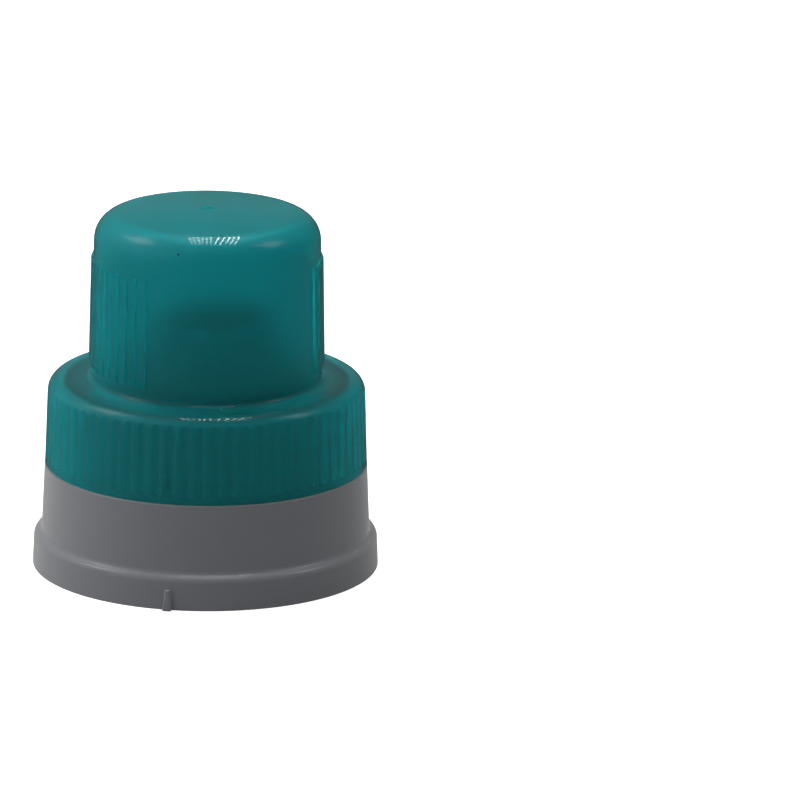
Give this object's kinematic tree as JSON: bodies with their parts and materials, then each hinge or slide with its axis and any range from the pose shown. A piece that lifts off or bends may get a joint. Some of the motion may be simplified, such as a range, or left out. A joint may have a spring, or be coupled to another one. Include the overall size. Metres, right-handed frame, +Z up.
{
  "type": "dosing screw cap with pour spout",
  "caption": "Domed translucent dosing cap with ribbed grips, screwed on a flanged collar that carries a drain-back pour spout, a plug seal and a two-start thread.",
  "frame": {"origin": "centre of the flange's lower face, on the screw axis, on the surface that the closure stands on", "axes": "+Z up along the screw axis from the bottle towards the crown; -Y towards the picture's camera; +X to the picture's right"},
  "size_m": [0.0626, 0.0629, 0.0658],
  "materials": {
    "grey_plastic": "satin grey moulded polyethylene",
    "teal_plastic": "translucent teal polypropylene, glossy, with moulded flutes and ribs",
    "seal_foam": "matt foamed polyethylene"
  },
  "bodies": {
    "spout": {"pour_spout": "grey_plastic"},
    "seal": {"seal_ring": "seal_foam"},
    "cap": {"dosing_cap": "teal_plastic"}
  },
  "joints": [
    {"name": "cap_rise", "type": "slide", "parent": "spout", "child": "seal", "axis": [0, 0, 1], "range_m": [0, 0.01155]},
    {"name": "cap_turn", "type": "hinge", "parent": "seal", "child": "cap", "pos_m": [0, 0, 0.0332], "axis": [0, 0, 1], "range_deg": [0, 594]}
  ],
  "couplings": [
    {"joint": "cap_rise", "follows": "cap_turn", "m_per_rad": 0.001114}
  ]
}
